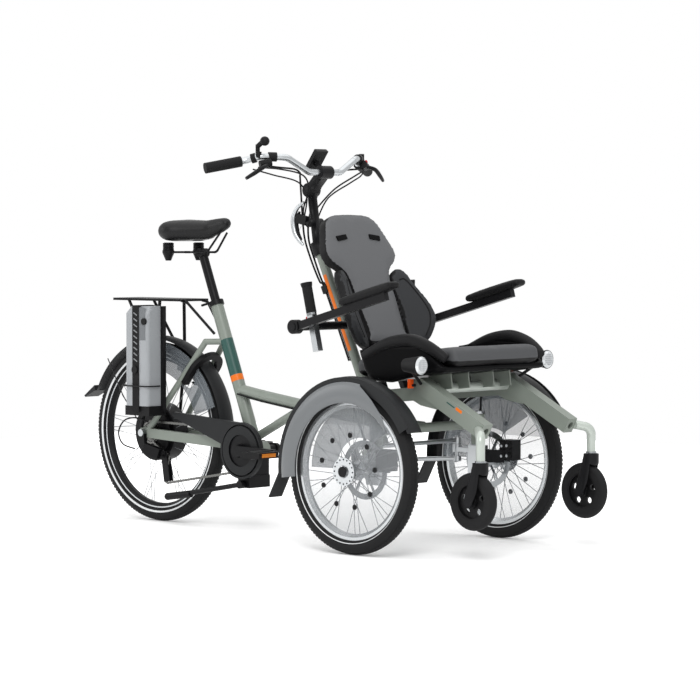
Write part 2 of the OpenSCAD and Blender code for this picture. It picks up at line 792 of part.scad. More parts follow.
module knuckle() {
  translate([0, -kingpin_y, 0]) {
    translate([0, 0, 285]) cylinder(r = kingpin_r, h = beam_z + 40 - 285);
    translate([0, 0, beam_z + 32]) cylinder(r = 20, h = 8);
    translate([-26, -18, 205]) cube([52, 36, 95]);
  }
  sideways([0, -kingpin_y - 10, front_r]) cylinder(r = stub_r, h = half_track - kingpin_y + 6);
  sideways([0, -kingpin_y - 12, front_r]) cylinder(r = 26, h = half_track - kingpin_y - 12 + hub_in - 4);
  box_bar([-10, -kingpin_y, 284], [-steer_arm, -knuckle_arm_y, 284], 24, 14);
  translate([-steer_arm, -knuckle_arm_y, 275]) cylinder(r = 14, h = 24);
  translate([-steer_arm, -knuckle_arm_y, drag_z - 10]) cylinder(r = stud_r, h = rod_z + 14 - drag_z + 10);
  difference() {
    translate([64, -half_track - hub_in - 24, front_r + 2]) cube([50, 44, 64]);
    sideways([0, -half_track - hub_in + 5, front_r]) cylinder(r = disc_r + 5, h = 12);
  }
  box_bar([20, -kingpin_y, front_r + 14], [80, -kingpin_y - 34, front_r + 14], 12, 40);
}

module knuckle_right() {
  color(silver) from_axle() knuckle();
}

module knuckle_left() {
  color(silver) from_axle() mirror([0, 1, 0]) knuckle();
}

module front_tyre_right() {
  color(rubber) from_axle() front_tyre();
}

module front_tyre_left() {
  color(rubber) from_axle() mirror([0, 1, 0]) front_tyre();
}

module front_wheel_right() {
  color(silver) from_axle() front_wheel();
}

module front_wheel_left() {
  color(silver) from_axle() mirror([0, 1, 0]) front_wheel();
}

module spoke_disc_right() {
  color(smoke) from_axle() spoke_disc();
}

module spoke_disc_left() {
  color(smoke) from_axle() mirror([0, 1, 0]) spoke_disc();
}

module front_mudguard_right() {
  color(black) from_axle() front_mudguard();
}

module front_mudguard_left() {
  color(black) from_axle() mirror([0, 1, 0]) front_mudguard();
}

module dress_guard_right() {
  color(smoke) from_axle() dress_guard();
}

module dress_guard_left() {
  color(smoke) from_axle() mirror([0, 1, 0]) dress_guard();
}

// Chair frame

arm_top = [150, -arm_y, 514];
arm_end = [402, -arm_y, 382];
arm_dir = unit(arm_end - arm_top);
// Width of the gusset at an arm's top
gusset_w = 32;
module front_frame() {
  color(sage) from_axle() {
    difference() {
      union() {
        bar([0, -kingpin_y, beam_z], [0, kingpin_y, beam_z], 15);
        both_sides() translate([0, -kingpin_y, 304]) cylinder(r = kingpin_r + 9, h = beam_z + 31 - 304);
      }
      both_sides() translate([0, -kingpin_y, 200]) cylinder(r = kingpin_r + pin_gap, h = 300);
    }
    bar([160, -arm_y, 500], [160, arm_y, 500], 16);
    both_sides() {
      difference() {
        box_bar(arm_top, arm_end, arm_w, arm_h);
        bar(arm_end + arm_dir, arm_end - arm_dir * socket_depth, socket_r);
      }
      box_bar([160, -arm_y, 488], [-150, -arm_y + 10, 458], 24, 40);
      translate([0, -arm_y + gusset_w / 2, 0]) rotate([90, 0, 0]) linear_extrude(height = gusset_w)
        polygon([[118, 528], [160, 533], [250, 478], [222, 442], [160, 452], [118, 470]]);
      box_bar([-120, -arm_y + 10, 452], [0, -arm_y + 10, beam_z], 24, 34);
      seat_place() for (y = [-140, -60]) translate([-150, y, -64]) cube([90, 5, 64 - 18 - seat_gap]);
    }
    bar([-133, -arm_y + 12, 458], [-133, arm_y - 12, 458], 13);
  }
}

module caster_legs() {
  color(silver) from_axle() both_sides() difference() {
    pipe([[384, -arm_y - arm_w / 4, 388], [caster_x, -caster_y, 374], [caster_x, -caster_y, 296]], 14, 26);
    translate([330, -arm_y - arm_w / 2 - seat_gap, 340]) cube([100, arm_w, 90]);
    translate([caster_x, -caster_y, 280]) cylinder(r = 8 + pin_gap, h = 46);
  }
}

module caster_fork() {
  translate([caster_x, -caster_y, 0]) {
    translate([0, 0, 270]) cylinder(r = 8, h = 50);
    translate([0, 0, 266]) cylinder(r = 24, h = 29);
    difference() {
      hull() {
        translate([0, 0, 268]) cylinder(r = 24, h = 20, $fn = 32);
        sideways([-caster_trail, 27, caster_z]) cylinder(r = 16, h = 54, $fn = 32);
      }
      sideways([-caster_trail, 21, caster_z]) cylinder(r = caster_r + 6, h = 42);
    }
    sideways([-caster_trail, 27, caster_z]) cylinder(r = 7, h = 54);
  }
}

module caster_wheel() {
  sideways([caster_x - caster_trail, -caster_y, caster_z]) difference() {
    union() {
      rotate_extrude() hull() {
        translate([caster_r - 15, 0]) circle(r = 15, $fn = 32);
        translate([caster_r - 34, 0]) square([4, 26], center = true);
      }
      cylinder(r = 54, h = 8, center = true);
      cylinder(r = 20, h = 32, center = true);
    }
    cylinder(r = 7 + pin_gap, h = 60, center = true);
    for (k = [0 : 4]) rotate([0, 0, 72 * k + 18]) translate([36, 0, -10]) cylinder(r = 9.5, h = 20);
  }
}

module caster_fork_right() {
  color(black) from_axle() caster_fork();
}

module caster_fork_left() {
  color(black) from_axle() mirror([0, 1, 0]) caster_fork();
}

module caster_wheel_right() {
  color(rubber) from_axle() caster_wheel();
}

module caster_wheel_left() {
  color(rubber) from_axle() mirror([0, 1, 0]) caster_wheel();
}

seat_front = 270;
// Frame of the seat's tilt, with its origin at the front of the seat board
module seat_place() {
  translate([seat_front, 0, 572]) rotate([0, -seat_tilt, 0]) children();
}

// Thickness of the seat shell's side
side_t = 24;
module seat_base() {
  color(black) from_axle() {
    seat_place() {
      translate([-404, -seat_half_w + 10, -18]) cube([404, 2 * seat_half_w - 20, 18]);
    }
    both_sides() translate([0, -seat_half_w + side_t, 0]) rotate([90, 0, 0]) linear_extrude(height = side_t)
      polygon([[-70, 612], [-44, 548], [-14, 522], [60, 517], [146, 537], [250, 556], [258, 576], [182, 634], [37, 631]]);
  }
}

module seat_cushion() {
  color(padding) from_axle() seat_place() hull() {
    for (x = [-378, -24], y = [-seat_half_w + 56, seat_half_w - 56], z = [22, 40])
      translate([x, y, z]) sphere(r = 21.5, $fn = 16);
  }
}

// Frame of the backrest's recline
back_foot = [-140, 0, 612];
module back_place() {
  translate(back_foot) rotate([0, -recline, 0]) children();
}

module backrest_frame() {
  color(black) from_axle() {
    back_place() {
      translate([-52, -90, 10]) cube([10, 180, 420]);
      both_sides() translate([-62, -60, -124]) cube([18, 22, 434]);
    }
    bar([-284, -armrest_y - 16, armrest_z], [-284, armrest_y + 16, armrest_z], 13);
  }
}

module back_panel() {
  color(grey) from_axle() back_place() translate([-41, 0, 0]) rotate([90, 0, 90]) linear_extrude(height = 40) offset(12) offset(-12)
    polygon([[-82, 30], [82, 30], [106, 262], [108, 290], [168, 338], [168, 352], [112, 452], [96, 462],
      [-96, 462], [-112, 452], [-168, 352], [-168, 338], [-108, 290], [-106, 262]]);
}

module back_wings() {
  color(padding) from_axle() back_place() both_sides() hull() {
    for (z = [40, 250]) translate([-30, -125.2, z]) sphere(r = 20, $fn = 16);
    for (z = [60, 170]) translate([40, -218, z]) sphere(r = 18, $fn = 16);
  }
}

handle_y = 240;
module push_handles() {
  color(black) from_axle() both_sides() {
    bar([-269, -handle_y, 722], [-291, -handle_y, 812], 16);
    box_bar([-241, -handle_y, 604], [-269, -handle_y, 722], 22, 22);
  }
}

// Armrest drawn for the right, with its pivot at the crossbar's end
armrest_rise = 15;
module armrest_place() {
  translate([-284, -armrest_y, armrest_z]) rotate([0, -armrest_rise, 0]) children();
}

module armrest_bar() {
  armrest_place() difference() {
    union() {
      translate([0, -10, -13]) cube([390, 20, 24]);
      sideways([0, 14, 0]) cylinder(r = 22, h = 28);
    }
    sideways([0, 20, 0]) cylinder(r = 13 + pin_gap, h = 40);
  }
}

module armrest_pad() {
  armrest_place() translate([175, 0, 11 + seat_gap]) hull() {
    for (x = [14, 220]) for (y = [-14, 14]) translate([x, y, 14]) scale([1, 1, 1]) sphere(r = 14, $fn = 16);
  }
}

module armrest_bar_right() {
  color(black) from_axle() armrest_bar();
}

module armrest_bar_left() {
  color(black) from_axle() mirror([0, 1, 0]) armrest_bar();
}

module armrest_pad_right() {
  color(padding) from_axle() armrest_pad();
}

module armrest_pad_left() {
  color(padding) from_axle() mirror([0, 1, 0]) armrest_pad();
}

module lamps() {
  color(silver) from_axle() both_sides() {
    translate([170, -297, 576]) rotate([0, 90, 0]) cylinder(r1 = 20, r2 = 29, h = 62);
    bar([190, -290, 558], [168, -arm_y - arm_w / 2 - 5.3, 518], 5);
    translate([131, -243, 503]) cube([12, 14, 28]);
    bar([140, -236, 512], [146, -arm_y - arm_w / 2 - 4.3, 512], 4);
  }
}

module frame_cables() {
  color(black) from_axle() cable([[-808, -24.8, 442], [-715, -20.9, 424.5], [-540, -20.9, 401.5], [-300, -20.9, 376.5]], 3, 30);
}

main_frame();
front_frame();
seat_post();
saddle();
saddle_springs();
rear_tyre();
rear_wheel();
derailleur();
chain();
chain_guard();
crankset();
pedal_right();
pedal_left();
stand_bracket();
stand_leg();
rear_mudguard();
skirt_guard();
ring_lock();
carrier();
battery();
battery_holder();
steering_column();
column_clamp();
handlebar();
grips();
brake_levers();
display();
bell();
steering_cables();
track_rod();
drag_link();
knuckle_right();
knuckle_left();
front_tyre_right();
front_tyre_left();
front_wheel_right();
front_wheel_left();
spoke_disc_right();
spoke_disc_left();
front_mudguard_right();
front_mudguard_left();
dress_guard_right();
dress_guard_left();
caster_legs();
caster_fork_right();
caster_fork_left();
caster_wheel_right();
caster_wheel_left();
seat_base();
seat_cushion();
backrest_frame();
back_panel();
back_wings();
push_handles();
armrest_bar_right();
armrest_bar_left();
armrest_pad_right();
armrest_pad_left();
lamps();
frame_cables();
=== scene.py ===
"""Looks of the wheelchair bicycle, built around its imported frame."""

import json
import math

import bmesh
import bpy
from mathutils import Matrix, Vector

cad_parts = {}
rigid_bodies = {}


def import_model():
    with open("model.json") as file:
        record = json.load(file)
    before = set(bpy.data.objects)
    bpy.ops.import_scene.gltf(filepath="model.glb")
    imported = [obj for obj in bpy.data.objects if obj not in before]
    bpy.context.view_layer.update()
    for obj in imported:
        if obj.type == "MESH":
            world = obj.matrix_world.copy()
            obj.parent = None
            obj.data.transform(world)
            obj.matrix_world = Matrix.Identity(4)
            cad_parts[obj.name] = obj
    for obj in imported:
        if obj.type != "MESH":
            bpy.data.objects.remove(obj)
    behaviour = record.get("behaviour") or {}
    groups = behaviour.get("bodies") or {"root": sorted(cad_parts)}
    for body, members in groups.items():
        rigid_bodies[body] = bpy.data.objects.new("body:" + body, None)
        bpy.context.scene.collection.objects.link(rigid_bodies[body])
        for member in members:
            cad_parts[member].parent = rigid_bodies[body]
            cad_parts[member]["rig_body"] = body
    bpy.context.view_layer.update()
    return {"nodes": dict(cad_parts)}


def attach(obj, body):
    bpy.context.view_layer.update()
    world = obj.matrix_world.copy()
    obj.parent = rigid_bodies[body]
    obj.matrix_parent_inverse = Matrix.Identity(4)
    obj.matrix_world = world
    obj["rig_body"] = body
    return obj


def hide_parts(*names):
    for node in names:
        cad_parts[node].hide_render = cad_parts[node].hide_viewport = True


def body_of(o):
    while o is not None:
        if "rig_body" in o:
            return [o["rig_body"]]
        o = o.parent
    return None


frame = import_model()
NODES = frame["nodes"]
AXLE_X = 524.5
# Axles in the side view, in mm ahead of the front axle and above the floor
FRONT_AXLE, REAR_AXLE, CRANK_AXLE, CASTER_AXLE = (0, 253), (-1192, 300.5), (-742, 262), (408, 180)
HALF_TRACK = 340
TYRE_HALF = 23.5
SIDES = (("right", -1), ("left", 1))


def S(x, y, z):
    """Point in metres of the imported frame, from millimetres behind or ahead of the front axle."""
    return Vector(((x + AXLE_X) / 1000, y / 1000, z / 1000))


def in_mm(p):
    """Millimetres behind or ahead of the front axle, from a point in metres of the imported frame."""
    return p.x * 1000 - AXLE_X, p.y * 1000, p.z * 1000


def mirrored(path, s):
    """Path in mm on the left side, or on the right one where s is -1."""
    return [(x, s * y, z) for x, y, z in path]


def linear(code):
    """Linear colour of an sRGB hex code."""
    out = []
    for i in (1, 3, 5):
        c = int(code[i : i + 2], 16) / 255
        out.append(c / 12.92 if c <= 0.04045 else ((c + 0.055) / 1.055) ** 2.4)
    return (*out, 1.0)


def add_node(tree, kind, inputs=None, **settings):
    """Adds a node with its settings, and each input's value or the socket that feeds it."""
    node = tree.nodes.new(kind)
    for key, value in settings.items():
        setattr(node, key, value)
    for key, value in (inputs or {}).items():
        if isinstance(value, bpy.types.NodeSocket):
            tree.links.new(value, node.inputs[key])
        else:
            node.inputs[key].default_value = value
    return node


GRAIN_DETAIL, GRAIN_STRENGTH = 3, 0.6


def surface(name, code, rough, metal=0.0, alpha=1.0, grain=None, spec=0.5):
    """Procedural finish: grain is (size in mm, depth in mm) of its fine texture."""
    m = bpy.data.materials.new(name)
    m.use_nodes = True
    nt = m.node_tree
    b = nt.nodes["Principled BSDF"]
    for key, value in (("Base Color", linear(code)), ("Roughness", rough), ("Metallic", metal),
                       ("Alpha", alpha), ("Specular IOR Level", spec)):
        b.inputs[key].default_value = value
    if grain:
        size, depth = grain
        place = add_node(nt, "ShaderNodeTexCoord")
        noise = add_node(nt, "ShaderNodeTexNoise",
                         {"Vector": place.outputs["Object"], "Scale": 1000 / size, "Detail": GRAIN_DETAIL})
        bump = add_node(nt, "ShaderNodeBump",
                        {"Height": noise.outputs["Fac"], "Distance": depth / 1000, "Strength": GRAIN_STRENGTH})
        nt.links.new(bump.outputs["Normal"], b.inputs["Normal"])
    return m


# Powder-coated steel tube: grey-green, satin, with faint orange peel
SAGE = surface("sage powder-coated steel", "#7a8179", 0.4, grain=(3, 0.02), spec=0.4)
# Powder coat with metal flake: paler, glints more
PALE = surface("pale metallic powder coat", "#adb4ad", 0.32, metal=0.3)
# Vinyl film bands: flat colour with a slight sheen
TEAL = surface("teal vinyl film", "#2c4f49", 0.4, spec=0.3)
ORANGE = surface("orange vinyl film", "#dc6c12", 0.4, spec=0.3)
# Black-coated steel: satin, deep
BLACK = surface("black powder-coated steel", "#0d0d0f", 0.42, grain=(4, 0.02), spec=0.15)
# Moulded ABS: fine spark-eroded grain that dulls highlights
PLASTIC = surface("black moulded ABS", "#101011", 0.5, grain=(1.5, 0.03), spec=0.15)
# Moulded polypropylene of guards: dark grey, waxy
GUARD = surface("dark grey polypropylene", "#242526", 0.45, grain=(2, 0.02), spec=0.12)
# Moulded shell of the seat: smooth black that swallows most light
GLOSS = surface("black gloss ABS", "#0a0a0b", 0.3, spec=0.04)
# Moulded ABS of the battery's case: pale and soft, its cap flatter and darker
BATTERY = surface("pale grey ABS", "#94979a", 0.42, grain=(2, 0.02), spec=0.35)
CAP = surface("mid grey ABS", "#696c6f", 0.5, spec=0.3)
# Woven nylon: matt, with lighter threads
STRAP = surface("black woven nylon", "#141415", 0.8, grain=(2, 0.2), spec=0.2)
FLECK = surface("grey nylon thread", "#77797b", 0.7)
# Moulded rubber: matt, slightly rough on tyres, softer on grips
RUBBER = surface("black tyre rubber", "#141415", 0.7, grain=(2.5, 0.12), spec=0.2)
GRIP = surface("soft black grip rubber", "#111112", 0.75, grain=(2, 0.15), spec=0.2)
# Metals, brushed, drawn, oiled or polished: seen by their reflections
SILVER = surface("brushed aluminium", "#b3b6b8", 0.3, metal=1.0)
STEEL = surface("stainless steel", "#8b8e90", 0.24, metal=1.0)
CHAIN = surface("oiled chain steel", "#6d6d6b", 0.38, metal=1.0)
RIM = surface("polished aluminium rim", "#bfc2c4", 0.26, metal=0.8)
# Reflective rubber of the tyres' bands: an even pale line
BAND = surface("pale reflective rubber", "#d3d5d6", 0.45)
# Smoked polycarbonate: nearly opaque in the skirt, thin behind the spokes, clear over them
SMOKE = surface("smoked polycarbonate", "#65686a", 0.3, spec=0.4)
HAZE = surface("thin smoked polycarbonate", "#757b80", 0.2, alpha=0.55, spec=0.3)
CLEAR = surface("clear polycarbonate", "#9a9da0", 0.15, alpha=0.28, spec=0.2)
# Faceted lamp glass over a mirror: bright, with uneven glints
LENS = surface("faceted lamp glass", "#cdd0d2", 0.12, metal=0.4, grain=(9, 1.5))
# Moulded acrylic of reflectors and red ABS of small controls: strong, shiny colour
AMBER = surface("amber acrylic", "#c9730c", 0.25)
SIGNAL = surface("orange acrylic", "#e8520c", 0.28)
RED = surface("red ABS", "#a8121e", 0.35)
# Screen glass: black and sharp
SCREEN = surface("dark screen glass", "#07080a", 0.1, spec=0.3)
# Coated fabrics of the pads: soft light on a fine leather grain
VINYL = surface("black padded vinyl", "#141415", 0.5, grain=(1.2, 0.08), spec=0.12)
WING = surface("dark grey padded vinyl", "#2f3032", 0.6, grain=(1.0, 0.1), spec=0.15)
SEAT_TOP = surface("grey seat vinyl", "#454648", 0.62, grain=(1.0, 0.1), spec=0.25)
BACK = surface("charcoal back vinyl", "#5e5f61", 0.6, grain=(1.0, 0.1), spec=0.15)
SADDLE = surface("black saddle vinyl", "#101011", 0.42, grain=(1.4, 0.08), spec=0.25)


def dress(material, *names):
    """Gives CAD solids one finish."""
    for n in names:
        me = NODES[n].data
        me.materials.clear()
        me.materials.append(material)


def by_place(node, default, *rules):
    """Gives the faces of a node the first material whose test, on a face's centre in mm, holds."""
    me = NODES[node].data
    me.materials.clear()
    for m in (default, *[r[0] for r in rules]):
        me.materials.append(m)
    for p in me.polygons:
        at = in_mm(p.center)
        p.material_index = next((i + 1 for i, r in enumerate(rules) if r[1](*at)), 0)


def from_axle(x, z, axle):
    return math.hypot(x - axle[0], z - axle[1])


dress(SAGE, "main_frame")
dress(BLACK, "seat_post", "saddle_springs", "stand_bracket", "stand_leg", "carrier", "backrest_frame")
dress(BLACK, "armrest_bar_right", "armrest_bar_left", "caster_fork_right", "caster_fork_left")
dress(PLASTIC, "ring_lock", "bell", "pedal_right", "pedal_left", "brake_levers", "display", "column_clamp")
dress(GUARD, "chain_guard", "rear_mudguard", "front_mudguard_right", "front_mudguard_left")
dress(GLOSS, "seat_base")
dress(BATTERY, "battery")
dress(SILVER, "track_rod", "drag_link", "handlebar")
dress(PALE, "caster_legs")
dress(CHAIN, "chain")
dress(RUBBER, "rear_tyre", "front_tyre_right", "front_tyre_left")
dress(GRIP, "grips", "steering_cables", "frame_cables")
dress(HAZE, "skirt_guard")
dress(CLEAR, "spoke_disc_right", "spoke_disc_left")
dress(SMOKE, "dress_guard_right", "dress_guard_left")
by_place("front_frame", SAGE, (PALE, lambda x, y, z: abs(y) < 176 and 142 < x < 178 and 483 < z < 517))
by_place("steering_column", SAGE, (BLACK, lambda x, y, z: z > 842))
by_place("battery_holder", PLASTIC, (STRAP, lambda x, y, z: y < -172 or z > 726.2))
by_place("derailleur", BLACK, (SILVER, lambda x, y, z: abs(y) > 81 and from_axle(x, z, REAR_AXLE) < 13))
by_place("crankset", BLACK, (CHAIN, lambda x, y, z: -51 < y < -46.5),
         (GUARD, lambda x, y, z: -80 < y < -70 and 53 < from_axle(x, z, CRANK_AXLE) < 81))
by_place("rear_wheel", BLACK, (STEEL, lambda x, y, z: 99 < from_axle(x, z, REAR_AXLE) < 240),
         (CHAIN, lambda x, y, z: -60 < y < -42.2 and 12 < from_axle(x, z, REAR_AXLE) < 60))
by_place("push_handles", SILVER, (GRIP, lambda x, y, z: z > 721))
by_place("lamps", PLASTIC, (SIGNAL, lambda x, y, z: 130 < x < 144 and 228 < abs(y) < 244 and z > 502.5))
for side, _ in SIDES:
    by_place("knuckle_" + side, SILVER, (BLACK, lambda x, y, z: x > 30))
    by_place("front_wheel_" + side, STEEL, (RIM, lambda x, y, z: from_axle(x, z, FRONT_AXLE) > 188),
             (SILVER, lambda x, y, z: from_axle(x, z, FRONT_AXLE) < 31))
    by_place("caster_wheel_" + side, RUBBER, (PLASTIC, lambda x, y, z: from_axle(x, z, CASTER_AXLE) < 56))


def through(p0, p1, p2, p3, t):
    """Point between p1 and p2 on a smooth curve through four points."""
    return 0.5 * (2 * p1 + (p2 - p0) * t + (2 * p0 - 5 * p1 + 4 * p2 - p3) * t * t
                  + (3 * p1 - p0 - 3 * p2 + p3) * t ** 3)


def closed_curve(points, steps=6):
    """Smooth closed outline through a few points of a plane."""
    pts, out = [Vector(p) for p in points], []
    for i in range(len(pts)):
        four = [pts[(i + k) % len(pts)] for k in (-1, 0, 1, 2)]
        out += [through(*four, k / steps) for k in range(steps)]
    return out


def prism(outline, low, high, place):
    """Closed slab between two levels over an outline, put in place by a function."""
    n = len(outline)
    verts = [place(u, v, w) for w in (low, high) for u, v in outline]
    faces = [(k, (k + 1) % n, n + (k + 1) % n, n + k) for k in range(n)]
    return verts, faces + [tuple(reversed(range(n))), tuple(range(n, 2 * n))]


def copy_of(node):
    """Merged copy of a CAD solid's mesh."""
    bm = bmesh.new()
    bm.from_mesh(NODES[node].data)
    bmesh.ops.remove_doubles(bm, verts=bm.verts, dist=1e-5)
    mesh = bpy.data.meshes.new(node)
    bm.to_mesh(mesh)
    bm.free()
    return mesh


def mesh_of(name, *forms):
    """Mesh of closed forms, each given as points and faces, with its faces outwards."""
    verts, faces = [], []
    for v, f in forms:
        faces += [tuple(i + len(verts) for i in face) for face in f]
        verts += v
    mesh = bpy.data.meshes.new(name)
    mesh.from_pydata([tuple(v) for v in verts], [], faces)
    bm = bmesh.new()
    bm.from_mesh(mesh)
    bmesh.ops.recalc_face_normals(bm, faces=bm.faces)
    bm.to_mesh(mesh)
    bm.free()
    return mesh


def finished(mesh, material, crease):
    """Mesh in one finish, smooth but for edges sharper than the crease in degrees."""
    mesh.materials.append(material)
    mesh.shade_smooth()
    mesh.set_sharp_from_angle(angle=math.radians(crease))
    return mesh


def placed(name, data):
    """Object of a mesh, lamp or camera, at the origin."""
    piece = bpy.data.objects.new(name, data)
    bpy.context.collection.objects.link(piece)
    return piece


VOXEL, PRESSURE, CLOTH_FRAMES = 0.006, 4, 20
# Metres that a padded piece shrinks before it is blown up, for each mm of its cap
SHRINK = 0.0008


def soften(node, mesh, swell, rounds, default, *rules):
    """Rounded piece in place of a CAD solid, blown up by simulated pressure where swell, its cap in mm, isn't 0.

    A rule's test reads a face's centre in mm and its normal.
    """
    piece = placed("padded_" + node if swell else "moulded_" + node, mesh)

    def bake(kind, **settings):
        m = piece.modifiers.new("step", kind)
        for key, value in settings.items():
            setattr(m, key, value)
        made = bpy.data.meshes.new_from_object(piece.evaluated_get(bpy.context.evaluated_depsgraph_get()))
        piece.modifiers.clear()
        piece.data = made

    bake("REMESH", mode="VOXEL", voxel_size=VOXEL)
    bake("SMOOTH", factor=0.5, iterations=rounds)
    if swell:
        for v, n in [(v, v.normal.copy()) for v in piece.data.vertices]:
            v.co -= n * swell * SHRINK
        start = [v.co.copy() for v in piece.data.vertices]
        cloth = piece.modifiers.new("cloth", "CLOTH")
        cloth.settings.use_pressure = True
        cloth.settings.uniform_pressure_force = PRESSURE
        cloth.settings.effector_weights.gravity = 0
        cloth.collision_settings.use_collision = False
        for f in range(1, CLOTH_FRAMES + 1):
            bpy.context.scene.frame_set(f)
        blown = piece.evaluated_get(bpy.context.evaluated_depsgraph_get()).data
        ends = [v.co.copy() for v in blown.vertices]
        piece.modifiers.clear()
        bpy.context.scene.frame_set(1)
        for v, p, q in zip(piece.data.vertices, start, ends):
            v.co = p + (q - p) * min(1, swell / 1000 / max((q - p).length, 1e-9))
        bake("SMOOTH", factor=0.4, iterations=2)
    piece.data.materials.clear()
    for m in (default, *[r[0] for r in rules]):
        piece.data.materials.append(m)
    for p in piece.data.polygons:
        at = in_mm(p.center)
        p.material_index = next((i + 1 for i, r in enumerate(rules) if r[1](*at, p.normal)), 0)
    piece.data.shade_smooth()
    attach(piece, body_of(NODES[node])[0])
    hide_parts(node)
    return piece


RECLINE = math.radians(24.5)
BACK_FOOT = (-140, 612)
BACK_OUT = Vector((math.cos(RECLINE), 0, math.sin(RECLINE)))


def on_back(x, y, z):
    """Point of the backrest: out of it, to the left and up along it, in mm from its foot."""
    return S(BACK_FOOT[0] + x * math.cos(RECLINE) - z * math.sin(RECLINE), y,
             BACK_FOOT[1] + x * math.sin(RECLINE) + z * math.cos(RECLINE))


# Head part with two ears, waist and narrow foot: to the left and up, in mm
BACK_HALF = [(28, 468), (88, 461), (122, 438), (142, 398), (162, 350), (166, 326), (152, 296), (120, 270),
             (104, 240), (98, 160), (90, 60), (84, 16)]
back_outline = closed_curve(BACK_HALF + [(-y, z) for y, z in reversed(BACK_HALF)])
# Side wing, as a plate that turns forward from the panel's edge
WING_TURN = math.radians(32)
WING_EDGE = [(-10, 14), (-12, 120), (-10, 230), (6, 262), (34, 271), (60, 252), (84, 195), (106, 140),
             (114, 92), (102, 55), (64, 12), (28, 4)]
WING_ROOT = (-8, 99)


def on_wing(s):
    """Function that puts a point of a wing's plate, its thickness last, in place on side s."""
    def place(u, z, t):
        return on_back(WING_ROOT[0] + u * math.sin(WING_TURN) + t * math.cos(WING_TURN),
                       s * (WING_ROOT[1] + u * math.cos(WING_TURN) - t * math.sin(WING_TURN)), z)
    return place


CUSHION_REAR, CUSHION_STRETCH = 131, 1.075


def longer_cushion():
    """CAD cushion drawn forward over the shell's lip."""
    mesh = copy_of("seat_cushion")
    for v in mesh.vertices:
        x = v.co.x * 1000 - AXLE_X
        v.co.x = (-CUSHION_REAR + (x + CUSHION_REAR) * CUSHION_STRETCH + AXLE_X) / 1000
        if x > 200 and v.co.z < 0.565:
            v.co.z -= 0.012
    return mesh


# The cushion's faces that turn downwards get the black vinyl: painted shade under the grey cushion.
soften("seat_cushion", longer_cushion(), 7, 9, SEAT_TOP, (VINYL, lambda x, y, z, n: n.z < -0.2))
soften("back_panel", mesh_of("back", prism(back_outline, -41, -1, lambda u, v, w: on_back(w, u, v))), 5, 4, VINYL,
       (BACK, lambda x, y, z, n: n.dot(BACK_OUT) > 0.8))
wing_outline = closed_curve(WING_EDGE)
wing_plates = [prism(wing_outline, -34, 0, on_wing(s)) for _, s in SIDES]
wings = soften("back_wings", mesh_of("wings", *wing_plates), 5, 4, VINYL, (WING, lambda x, y, z, n: n.x > 0.55))
# Armrest pads sit a little further forward along their bars
PAD_FORWARD = 0.03
for side, _ in SIDES:
    pad = copy_of("armrest_pad_" + side)
    ends = sorted((v.co for v in pad.vertices), key=lambda c: c.x)
    rise = (ends[-1].z - ends[0].z) / (ends[-1].x - ends[0].x)
    pad.transform(Matrix.Translation((PAD_FORWARD, 0, PAD_FORWARD * rise)))
    soften("armrest_pad_" + side, pad, 3, 4, VINYL)
soften("saddle", copy_of("saddle"), 3, 4, SADDLE)
soften("seat_base", copy_of("seat_base"), 0, 5, GLOSS)


def trimmed(node, drop, material):
    """Copy of a CAD solid without the part that a test on a point in mm picks out, closed again there."""
    mesh = copy_of(node)
    bm = bmesh.new()
    bm.from_mesh(mesh)
    bmesh.ops.delete(bm, geom=[v for v in bm.verts if drop(*in_mm(v.co))], context="VERTS")
    bmesh.ops.holes_fill(bm, edges=[e for e in bm.edges if e.is_boundary])
    bmesh.ops.recalc_face_normals(bm, faces=bm.faces)
    bm.to_mesh(mesh)
    bm.free()
    piece = placed("trimmed_" + node, finished(mesh, material, 35))
    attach(piece, body_of(NODES[node])[0])
    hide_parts(node)


# The clamp's curved lever is made below, so the plain one goes
trimmed("column_clamp", lambda x, y, z: y < -20.05 and x < -501, BLACK)


class Batch:
    """Small shapes of one material on one body, joined into one piece."""

    made = {}

    def __init__(self):
        self.verts, self.faces = [], []

    @classmethod
    def of(cls, name, material, body):
        return cls.made.setdefault((name, material.name, body), cls())

    def add(self, verts, faces):
        n = len(self.verts)
        self.verts += [tuple(v) for v in verts]
        self.faces += [tuple(i + n for i in f) for f in faces]


def across(d):
    """Two directions square to d."""
    u = d.cross(Vector((0.31, 0.23, 0.92)))
    u = (u if u.length > 0.05 else d.cross(Vector((1, 0, 0)))).normalized()
    return u, d.cross(u).normalized()


def circle(p, u, v, r, n):
    """Points round p in metres in the plane of u and v, with the radius in mm."""
    return [p + (u * math.cos(2 * math.pi * k / n) + v * math.sin(2 * math.pi * k / n)) * r / 1000 for k in range(n)]


def tube(batch, rings):
    """Closed tube through rings of points."""
    n, last = len(rings[0]), len(rings) - 1
    faces = [(i * n + k, i * n + (k + 1) % n, (i + 1) * n + (k + 1) % n, (i + 1) * n + k)
             for i in range(last) for k in range(n)]
    faces += [tuple(reversed(range(n))), tuple(range(last * n, (last + 1) * n))]
    batch.add([p for points in rings for p in points], faces)


def rod(batch, a, b, r, r2=None, n=20):
    """Closed round bar from a to b in metres, with radii in mm."""
    u, v = across((b - a).normalized())
    tube(batch, [circle(a, u, v, r, n), circle(b, u, v, r if r2 is None else r2, n)])


def spline(points, steps=10):
    """Smooth path through the points."""
    out = []
    for i in range(len(points) - 1):
        four = points[max(i - 1, 0)], points[i], points[i + 1], points[min(i + 2, len(points) - 1)]
        out += [through(*four, k / steps) for k in range(steps)]
    return out + [points[-1]]


